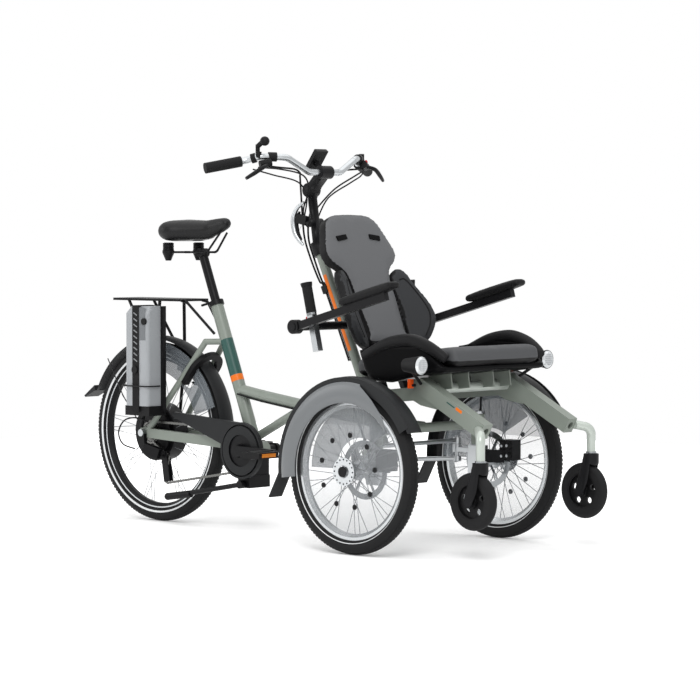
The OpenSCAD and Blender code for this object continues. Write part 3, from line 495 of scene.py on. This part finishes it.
def hose(batch, points, r, n=10, tip=None):
    """Round hose along a smooth path, with its radius in mm in the middle and, where it tapers, at its tips."""
    path = spline([S(*p) for p in points])
    rings, u = [], None
    for i, p in enumerate(path):
        d = (path[min(i + 1, len(path) - 1)] - path[max(i - 1, 0)]).normalized()
        u = across(d)[0] if u is None else (u - d * u.dot(d)).normalized()
        q = r if tip is None else tip + (r - tip) * math.sin(math.pi * i / (len(path) - 1))
        rings.append(circle(p, u, d.cross(u), q, n))
    tube(batch, rings)


def brick(batch, middle, size, turn=Matrix.Identity(3)):
    """Box in mm about a middle point in metres."""
    c = [turn @ Vector((x * size[0], y * size[1], z * size[2])) / 2000 + middle
         for x in (-1, 1) for y in (-1, 1) for z in (-1, 1)]
    batch.add(c, [(0, 1, 3, 2), (4, 6, 7, 5), (0, 4, 5, 1), (2, 3, 7, 6), (0, 2, 6, 4), (1, 5, 7, 3)])


def washer(batch, hub, rows, n=96):
    """Ring about the Y axis of a hub from (radius, outward offset) rows in mm, outward to the row's side."""
    verts = [hub + Vector((r * math.cos(2 * math.pi * k / n), y, r * math.sin(2 * math.pi * k / n))) / 1000
             for r, y in rows for k in range(n)]
    m = len(rows)
    batch.add(verts, [(i * n + k, i * n + (k + 1) % n, (i + 1) % m * n + (k + 1) % n, (i + 1) % m * n + k)
                      for i in range(m) for k in range(n)])


def sleeve(batch, a, b, r, wall, from_deg=0.0, to_deg=360.0, out=Vector((0, -1, 0)), n=48):
    """Part of a thin sleeve round the line a to b, with angles counted from the outward direction."""
    d = (b - a).normalized()
    u = (out - d * out.dot(d)).normalized()
    v = d.cross(u)
    full = to_deg - from_deg >= 360
    steps = n if full else max(4, int(n * (to_deg - from_deg) / 360))
    count = steps if full else steps + 1
    verts = []
    for p in (a, b):
        for q in (r, r + wall):
            for k in range(count):
                t = math.radians(from_deg + (to_deg - from_deg) * k / steps)
                verts.append(p + (u * math.cos(t) + v * math.sin(t)) * q / 1000)
    faces = []
    for k in range(steps):
        j = (k + 1) % count
        faces += [(k, j, 2 * count + j, 2 * count + k), (count + j, count + k, 3 * count + k, 3 * count + j),
                  (j, k, count + k, count + j), (2 * count + k, 2 * count + j, 3 * count + j, 3 * count + k)]
    if not full:
        e = count - 1
        faces += [(0, 2 * count, 3 * count, count), (e, count + e, 3 * count + e, 2 * count + e)]
    batch.add(verts, faces)


def tread_tree():
    """Node tree of a row of tread blocks: a block on each point of a circle, turned upright and moved to the hub."""
    tree = bpy.data.node_groups.new("tread row", "GeometryNodeTree")
    for name, kind in (("Blocks", "Int"), ("Radius", "Float"), ("Block Size", "Vector"), ("Turn", "Vector"),
                       ("Hub", "Vector"), ("Finish", "Material")):
        tree.interface.new_socket(name=name, in_out="INPUT", socket_type="NodeSocket" + kind)
    tree.interface.new_socket(name="Geometry", in_out="OUTPUT", socket_type="NodeSocketGeometry")
    given = add_node(tree, "NodeGroupInput").outputs
    points = add_node(tree, "GeometryNodeMeshCircle", {"Vertices": given["Blocks"], "Radius": given["Radius"]})
    block = add_node(tree, "GeometryNodeMeshCube", {"Size": given["Block Size"]})
    place = add_node(tree, "GeometryNodeInputPosition")
    outward = add_node(tree, "FunctionNodeAlignRotationToVector", {"Vector": place.outputs["Position"]}, axis="X")
    row = add_node(tree, "GeometryNodeInstanceOnPoints",
                   {"Points": points.outputs["Mesh"], "Instance": block.outputs["Mesh"],
                    "Rotation": outward.outputs["Rotation"]})
    upright = add_node(tree, "FunctionNodeEulerToRotation", {"Euler": given["Turn"]})
    moved = add_node(tree, "GeometryNodeTransform",
                     {"Geometry": row.outputs["Instances"], "Rotation": upright.outputs["Rotation"],
                      "Translation": given["Hub"]})
    real = add_node(tree, "GeometryNodeRealizeInstances", {"Geometry": moved.outputs["Geometry"]})
    paint = add_node(tree, "GeometryNodeSetMaterial",
                     {"Geometry": real.outputs["Geometry"], "Material": given["Finish"]})
    add_node(tree, "NodeGroupOutput", {"Geometry": paint.outputs["Geometry"]})
    return tree


TREAD = tread_tree()


def tread(name, blocks, r, size, hub, turn, offset, body):
    """Row of tread blocks round a tyre, by the node tree, made plain mesh."""
    seed = placed(name + " seed", bpy.data.meshes.new(name))
    rows = seed.modifiers.new("rows", "NODES")
    rows.node_group = TREAD
    given = {"Blocks": blocks, "Radius": r / 1000, "Block Size": [v / 1000 for v in size],
             "Turn": [math.pi / 2, turn, 0.0], "Hub": list(hub + Vector((0, offset / 1000, 0))), "Finish": RUBBER}
    for socket in TREAD.interface.items_tree:
        if socket.in_out == "INPUT":
            rows[socket.identifier] = given[socket.name]
    mesh = bpy.data.meshes.new_from_object(seed.evaluated_get(bpy.context.evaluated_depsgraph_get()))
    seed.modifiers.clear()
    bpy.data.objects.remove(seed)
    piece = placed(name.replace(" ", "_"), mesh)
    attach(piece, body)


MIDDLE_BLOCK, SIDE_BLOCK, SIDE_ROW = (0.7, 9, 4), (0.7, 8, 5), 13


def tread_rows(name, blocks, wheel_r, half_step, hub, body):
    """Middle row of a tyre and its two side rows, which are turned by half a step."""
    tread("middle tread " + name, blocks, wheel_r - 0.2, MIDDLE_BLOCK, hub, 0.0, 0, body)
    for k, off in enumerate((-SIDE_ROW, SIDE_ROW)):
        tread(f"side tread {name} {k}", blocks, wheel_r - 4.1, SIDE_BLOCK, hub, half_step, off, body)


def band_rows(q, wheel_r, low, high):
    """Section of a thin band between two radii on side q of a tyre."""
    return [(r, q * (math.sqrt(TYRE_HALF ** 2 - (r - wheel_r + TYRE_HALF) ** 2) + h))
            for r, h in ((low, 0.1), (high, 0.1), (high, 0.5), (low, 0.5))]


FRONT_HUBS = {side: S(FRONT_AXLE[0], s * HALF_TRACK, FRONT_AXLE[1]) for side, s in SIDES}
REAR_HUB = S(REAR_AXLE[0], 0, REAR_AXLE[1])
FLANGE_HOLES, SHEET_DOTS = 16, 9
for side, s in SIDES:
    hub, body = FRONT_HUBS[side], "front_wheel_" + side
    tread_rows(side, 120, FRONT_AXLE[1], 0.026, hub, body)
    # Hub cap, dots of the spoke sheet and the light band beside the rim
    rod(Batch.of("hub cap " + side, PLASTIC, body),
        hub + Vector((0, s * 0.0485, 0)), hub + Vector((0, s * 0.0515, 0)), 16)
    washer(Batch.of("hub flange " + side, RIM, body), hub,
           [(r, s * y) for r, y in ((19, 43), (43, 43), (43, 45), (19, 45))], 48)
    for k in range(FLANGE_HOLES):
        t = k * 2 * math.pi / FLANGE_HOLES
        p = hub + Vector((math.cos(t) * 0.037, s * 0.045, math.sin(t) * 0.037))
        rod(Batch.of("hub flange holes " + side, PLASTIC, body), p, p + Vector((0, s * 0.0006, 0)), 2.6, n=10)
    for k in range(SHEET_DOTS):
        t = math.radians(85 + 40 * k)
        p = hub + Vector((math.cos(t) * 0.11, s * 0.0243, math.sin(t) * 0.11))
        rod(Batch.of("spoke sheet dots " + side, PLASTIC, body), p, p + Vector((0, s * 0.003, 0)), 8)
    for q in (-1, 1):
        washer(Batch.of("tyre band " + side, BAND, body), hub, band_rows(q, FRONT_AXLE[1], 217, 219))
tread_rows("rear", 140, REAR_AXLE[1], 0.022, REAR_HUB, "rear_wheel")
for q in (-1, 1):
    washer(Batch.of("rear tyre band", BAND, "rear_wheel"), REAR_HUB, band_rows(q, REAR_AXLE[1], 266, 272))
    washer(Batch.of("rear rim line", RIM, "rear_wheel"), REAR_HUB,
           [(252, q * 16.1), (256, q * 16.1), (256, q * 16.5), (252, q * 16.5)])

# Teal and orange bands of the seat tube, orange stripe of the steering column
SEAT_LEAN, COLUMN_LEAN = math.radians(21.5), math.radians(24.6)
COLUMN_FOOT = (-277, 511)
SEAT_DIR = Vector((-math.sin(SEAT_LEAN), 0, math.cos(SEAT_LEAN)))


def on_seat_tube(z):
    return S(CRANK_AXLE[0], 0, CRANK_AXLE[1]) + SEAT_DIR * (z - CRANK_AXLE[1]) / 1000 / SEAT_DIR.z


def on_column(z):
    return S(COLUMN_FOOT[0] - (z - COLUMN_FOOT[1]) * math.tan(COLUMN_LEAN), 0, z)


sleeve(Batch.of("seat tube band", TEAL, "chassis"), on_seat_tube(502), on_seat_tube(617), 21.05, 0.35)
sleeve(Batch.of("seat tube ring", ORANGE, "chassis"), on_seat_tube(482), on_seat_tube(501), 21.05, 0.35)
for out in (Vector((0, -1, 0)), Vector((0, 1, 0))):
    sleeve(Batch.of("column stripe", ORANGE, "steering"), on_column(597), on_column(835), 16.05, 0.3, -24, 24, out)
ARM_SLOPE = Matrix.Rotation(math.atan2(132, 252), 3, "Y")
for _, s in SIDES:
    brick(Batch.of("arm patch", ORANGE, "chassis"), S(314, s * 220.15, 443), (26, 0.5, 9), ARM_SLOPE)
    brick(Batch.of("arm line", TEAL, "chassis"), S(282, s * 220.15, 458), (34, 0.5, 4), ARM_SLOPE)

# Collars and red catches of the push handles, reflectors of the pedals
for _, s in SIDES:
    rod(Batch.of("handle collar", STEEL, "chassis"), S(-267.5, s * 240, 715), S(-269.4, s * 240, 723), 15.8)
    rod(Batch.of("handle catch", RED, "chassis"), S(-276, s * 240, 703), S(-289, s * 240, 706), 6.5, 5, 20)
for body, x, s in (("pedal_right", -572, -1), ("pedal_left", -912, 1)):
    for q in (-1, 1):
        brick(Batch.of("pedal reflector " + body, AMBER, body), S(x + q * 42.3, s * 162, 262), (1.2, 62, 12))

# Cables from the bar's controls to the column: radius and path on the left side, in mm
BAR_HOSES = [
    (2.6, [(-500, 240, 1174), (-448, 190, 1168), (-420, 120, 1150), (-452, 60, 1108), (-500, 32, 1050),
           (-516, 17, 1024)]),
    (2.4, [(-505, 258, 1168), (-470, 200, 1150), (-440, 120, 1128), (-470, 50, 1080), (-500, 30, 1010),
           (-496, 16, 985)]),
    (3, [(-484, 238, 1180), (-462, 180, 1174), (-458, 120, 1170), (-474, 78, 1160), (-490, 60, 1150)]),
]
for _, s in SIDES:
    for r, path in BAR_HOSES:
        hose(Batch.of("bar hoses", GRIP, "steering"), mirrored(path, s), r)

# Slots of the head part, piping of the wings, padded rim of the seat shell
SLOT_TILT = math.radians(-8)
WING_SEAM = [(26, 226), (44, 224), (64, 188), (82, 138), (88, 98), (76, 58), (56, 22)]
SEAT_RIM = [(-52, 235, 594), (-10, 238, 613), (45, 238, 634), (100, 237, 645), (148, 236, 646), (202, 235, 631),
            (246, 229, 608), (266, 222, 594)]
for _, s in SIDES:
    brick(Batch.of("head slot", GLOSS, "chassis"), on_back(1.5, s * 76, 375), (5, 46, 16),
          Matrix.Rotation(-RECLINE, 3, "Y") @ Matrix.Rotation(s * SLOT_TILT, 3, "X"))
    seam = [wings.closest_point_on_mesh(on_wing(s)(u, z, 30))[1] for u, z in WING_SEAM]
    hose(Batch.of("wing piping", VINYL, "chassis"), [in_mm(p) for p in seam], 2.4)
    hose(Batch.of("seat rim", VINYL, "chassis"), mirrored(SEAT_RIM, s), 20, 18, 14)

# Lamps' bezels and ribbed lenses, levers and pods on the bar
LENS_LINES = (-15, -9, -3, 3, 9, 15)
BAR_PODS = [((-470, 188, 1207), (-484, 210, 1207.5), 15), ((-508, 241, 1205), (-520, 249, 1201), 15.5),
            ((-468, 214, 1190), (-486, 246, 1182), 13), ((-500, 240, 1204), (-498, 238, 1224), 9)]
BRAKE_LEVER = [(-470, 222, 1184), (-458, 258, 1174), (-466, 292, 1154), (-476, 318, 1138)]
forward = Vector((1, 0, 0))
for _, s in SIDES:
    face = S(231, s * 297, 576)
    rod(Batch.of("lamp bezel", PLASTIC, "chassis"), face, face + forward * 0.003, 29.5, 28.5, 40)
    rod(Batch.of("lamp lens", LENS, "chassis"), face + forward * 0.003, face + forward * 0.008, 27, 21, 40)
    ribs = Batch.of("lens ribs", CAP, "chassis")
    for line in LENS_LINES:
        length = 1.8 * math.sqrt(20 ** 2 - line ** 2)
        brick(ribs, face + Vector((0.008, line / 1000, 0)), (0.6, 1.0, length))
        brick(ribs, face + Vector((0.008, 0, line / 1000)), (0.5, length, 0.8))
    for p, q, r in BAR_PODS:
        a, b = mirrored((p, q), s)
        rod(Batch.of("bar pods", PLASTIC, "steering"), S(*a), S(*b), r, n=28)
    hose(Batch.of("brake levers", BLACK, "steering"), mirrored(BRAKE_LEVER, s), 7, 12, 5)
rod(Batch.of("red button", RED, "steering"), S(-486, 238, 1196), S(-476, 238, 1199), 6)

# Display that leans forward on its arm, curved clamp lever with its lining, hoses down the column
DISPLAY_LEAN = Matrix.Rotation(math.radians(36), 3, "Y")
DISPLAY_AT = S(-473, 0, 1203)
display = Batch.of("display case", PLASTIC, "steering")
brick(display, DISPLAY_AT, (13, 54, 70), DISPLAY_LEAN)
rod(display, DISPLAY_AT + DISPLAY_LEAN @ Vector((0.004, 0, -0.012)), S(-426, 0, 1150), 9, n=16)
brick(Batch.of("display glass", SCREEN, "steering"), DISPLAY_AT + DISPLAY_LEAN @ Vector((-0.0068, 0, 0)),
      (1, 46, 60), DISPLAY_LEAN)
CLAMP_LEVER = [(-500, -31, 1066), (-526, -34, 1048), (-543, -35, 1014), (-537, -35, 972), (-520, -34, 946),
               (-503, -32, 930)]
LEVER_LINING = [(-520, -30, 1036), (-532, -31, 1008), (-527, -31, 972), (-512, -31, 946)]
# Points of a hose down the column: x, half of the hoses' spread, their middle and z
COLUMN_HOSE = [(-490, 60, 0, 1150), (-506, 38, 0, 1090), (-521, 16, 0, 1020), (-514, 9, -4, 950), (-482, 8, -8, 880),
               (-448, 6, -8, 815), (-425, 5, -8, 790), (-344, 5, -8, 615), (-321, 5, -8, 565)]
hose(Batch.of("clamp lever", SILVER, "steering"), CLAMP_LEVER, 8.5, 14, 4)
hose(Batch.of("clamp lever lining", PLASTIC, "steering"), LEVER_LINING, 6, 12, 4)
for _, s in SIDES:
    hose(Batch.of("column hoses", GRIP, "steering"), [(x, s * half + mid, z) for x, half, mid, z in COLUMN_HOSE], 3.2)
brick(Batch.of("hose clip", PLASTIC, "steering"), S(-424, -8, 790), (22, 20, 26), Matrix.Rotation(-COLUMN_LEAN, 3, "Y"))
brick(Batch.of("clamp lever bracket", PLASTIC, "steering"), S(-514, -31, 1012), (52, 12, 30),
      Matrix.Rotation(math.radians(12), 3, "Y"))
for _, s in SIDES:
    rod(Batch.of("handle grip rim", GRIP, "chassis"), S(-288.8, s * 240, 803), S(-291.6, s * 240, 814.4), 17, 19, 28)
    rod(Batch.of("caster collar", STEEL, "chassis"), S(434, s * 262, 296.4), S(434, s * 262, 301), 17, n=32)

# Bosses and bolts of the brake calipers, on their inner faces: x, z and radius in mm
CALIPER_BOSSES = [(78, 268, 13), (100, 270, 12), (79, 300, 12), (100, 302, 13)]
for side, s in SIDES:
    inner = min(abs(v.co.y) for v in NODES["knuckle_" + side].data.vertices if v.co.x * 1000 - AXLE_X > 100)
    for x, z, r in CALIPER_BOSSES:
        p = Vector((S(x, 0, z).x, s * inner, z / 1000))
        top = p - Vector((0, s * 0.007, 0))
        rod(Batch.of("caliper bosses " + side, PLASTIC, "knuckle_" + side), p, top, r, r - 2, 24)
        rod(Batch.of("caliper bolts " + side, STEEL, "knuckle_" + side), top, p - Vector((0, s * 0.0095, 0)), 4.5, n=12)

# Battery: key knob, cap, strap's threads and buckle, wire round it, cable loop of the derailleur
STRAP_X, STRAP_THREADS = -1133, 9
BATTERY_WIRE = [(-1196, -120, 462), (-1194, -176, 462), (-1140, -179, 462), (-1076, -176, 462), (-1074, -120, 462)]
DERAILLEUR_HOSE = [(-1160, -92, 338), (-1215, -98, 350), (-1268, -101, 338), (-1294, -102, 298), (-1276, -100, 260),
                   (-1222, -96, 246)]
rod(Batch.of("battery knobs", PLASTIC, "chassis"), S(-1092, -172, 676), S(-1092, -178, 676), 11)
rod(Batch.of("battery knobs", PLASTIC, "chassis"), S(STRAP_X, -174, 516), S(STRAP_X, -181, 516), 13)
brick(Batch.of("battery cap", CAP, "chassis"), S(-1112, -172.2, 668), (46, 1, 108))
for k in range(STRAP_THREADS):
    brick(Batch.of("strap threads", FLECK, "chassis"), S(STRAP_X, -175.2, 548 + 19 * k), (19, 0.6, 4),
          Matrix.Rotation(math.radians(28), 3, "Y"))
hose(Batch.of("battery wire", BLACK, "chassis"), BATTERY_WIRE, 2.4)
hose(Batch.of("derailleur hose", GRIP, "chassis"), DERAILLEUR_HOSE, 2.5)


def arc(r, start, stop, step):
    """Points of an arc in mm, its angles in whole degrees."""
    return [(r * math.cos(math.radians(t)), r * math.sin(math.radians(t))) for t in range(start, stop, step)]


# Front dress guards: a curved skirt over the tyre's side, a thin sheet behind the spokes and the crown's lip.
# Rows of the skirt: radius and outward offset in mm, and the angle of its front end
SKIRT = [(270, 33.5, 78), (266, 38, 77), (258, 41, 72), (246, 43.5, 63), (230, 44.5, 47), (212, 43.5, 38),
         (207, 41, 36)]
SKIRT_REAR, SKIRT_STEPS = 187, 48
SHEET = arc(204, 44, 181, 4) + arc(98, 180, 59, -8)
LIP = arc(284.5, 30, 186, 5) + arc(248, 185, 29, -5)
for side, s in SIDES:
    hub, n = FRONT_HUBS[side], SKIRT_STEPS
    rows = SKIRT + [(r - 0.4, y - 1.8, end) for r, y, end in reversed(SKIRT)]
    verts, faces = [], []
    for r, y, end in rows:
        for k in range(n + 1):
            t = math.radians(end + (SKIRT_REAR - end) * k / n)
            verts.append(hub + Vector((r * math.cos(t), s * y, r * math.sin(t))) / 1000)
    m, w = len(rows), n + 1
    faces += [(i * w + k, i * w + k + 1, (i + 1) % m * w + k + 1, (i + 1) % m * w + k)
              for i in range(m) for k in range(n)]
    faces += [tuple(i * w for i in range(m)), tuple(i * w + n for i in reversed(range(m)))]
    edge = prism(LIP, 31.2, 33.2, lambda u, v, y: hub + Vector((u, s * y, v)) / 1000)
    sheet = prism(SHEET, -31.5, -33.5, lambda u, v, y: hub + Vector((u, s * y, v)) / 1000)
    for name, form, finish in (("guard_skirt_", (verts, faces), SMOKE), ("guard_sheet_", sheet, HAZE),
                               ("guard_lip_", edge, GUARD)):
        piece = placed(name + side, finished(mesh_of(name + side, form), finish, 40))
        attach(piece, body_of(NODES["dress_guard_" + side])[0])
        if finish is SMOKE:
            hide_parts("dress_guard_" + side)

REPLACED = {"brake levers": "brake_levers", "display case": "display", "column hoses": "steering_cables"}
for (name, finish, body), batch in Batch.made.items():
    mesh = bpy.data.meshes.new(name)
    mesh.from_pydata(batch.verts, [], batch.faces)
    piece = placed(name.replace(" ", "_"), finished(mesh, bpy.data.materials[finish], 35))
    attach(piece, body)
    if name in REPLACED:
        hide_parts(REPLACED[name])

# Share of the studio's white that rays other than those to the eye, in metal or through glass still get
OTHER_RAYS = 0.5


def white_to_eye(tree):
    """Socket that is 1 for rays that see the studio directly, in metal or through glass, else OTHER_RAYS."""
    seen = add_node(tree, "ShaderNodeLightPath").outputs
    most = OTHER_RAYS
    for name in ("Is Camera Ray", "Is Glossy Ray", "Is Transmission Ray"):
        most = add_node(tree, "ShaderNodeMath", {0: seen[name], 1: most}, operation="MAXIMUM").outputs["Value"]
    return most


# Studio: pale floor that shows white and keeps the shadow, white surround, large soft lamps
FLOOR_GLOW, EDGE_GLOW = 0.1, 0.6
GLOW_FROM, GLOW_TO = 1.0, 3.0
FLOOR_HALF, FLOOR_DROP = 4, 0.0006
floor_finish = surface("pale studio floor", "#ffffff", 0.9, spec=0.0)
ft = floor_finish.node_tree
shine = ft.nodes["Principled BSDF"]
shine.inputs["Emission Color"].default_value = (1, 1, 1, 1)
place = add_node(ft, "ShaderNodeNewGeometry")
reach = add_node(ft, "ShaderNodeVectorMath", {0: place.outputs["Position"]}, operation="LENGTH")
fade = add_node(ft, "ShaderNodeMapRange", {"Value": reach.outputs["Value"], "From Min": GLOW_FROM, "From Max": GLOW_TO,
                                           "To Min": FLOOR_GLOW, "To Max": EDGE_GLOW})
glow = add_node(ft, "ShaderNodeMath", {0: white_to_eye(ft), 1: fade.outputs["Result"]}, operation="MULTIPLY")
ft.links.new(glow.outputs["Value"], shine.inputs["Emission Strength"])
floor_mesh = bpy.data.meshes.new("floor")
floor_mesh.from_pydata([(x * FLOOR_HALF, y * FLOOR_HALF, 0) for x, y in ((-1, -1), (1, -1), (1, 1), (-1, 1))],
                       [], [(0, 1, 2, 3)])
floor_mesh.materials.append(floor_finish)
floor = placed("floor", floor_mesh)
floor.location.z = -FLOOR_DROP


def lamp(name, place, aim, size, power):
    """Square soft lamp at a place, turned to what it lights, with its size in metres and power in watts."""
    light = bpy.data.lights.new(name, "AREA")
    light.size = size
    light.energy = power
    o = placed(name, light)
    o.location = place
    o.rotation_euler = (Vector(aim) - Vector(place)).to_track_quat("-Z", "Y").to_euler()


lamp("overhead", (0, 0, 5.5), (0, 0, 0), 8.0, 200)
lamp("key", (4.0, -4.5, 4.5), (0, 0, 0.5), 2.5, 210)
lamp("fill", (-4.5, -4.0, 2.5), (0, 0, 0.5), 2.5, 50)
AMBIENT = 0.42
world = bpy.data.worlds.new("studio")
bpy.context.scene.world = world
world.use_nodes = True
wt = world.node_tree
sky = wt.nodes["Background"]
sky.inputs["Color"].default_value = (1, 1, 1, 1)
grade = add_node(wt, "ShaderNodeMapRange", {"Value": white_to_eye(wt), "To Min": AMBIENT})
wt.links.new(grade.outputs["Result"], sky.inputs["Strength"])

# Camera's lens and tilt, turn in degrees, and place in metres
LENS_MM, SENSOR_MM, LOOK_DOWN, LOOK_ROUND = 153.88, 36, 2.343, 42.75
CAMERA_AT = (6.6184, -6.9481, 0.9854)
camera = bpy.data.cameras.new("camera")
camera.sensor_width = SENSOR_MM
camera.lens = LENS_MM
view = placed("camera", camera)
view.location = CAMERA_AT
view.rotation_euler = (math.radians(90 - LOOK_DOWN), 0, math.radians(LOOK_ROUND))
scene = bpy.context.scene
scene.camera = view
scene.view_settings.view_transform = "Standard"
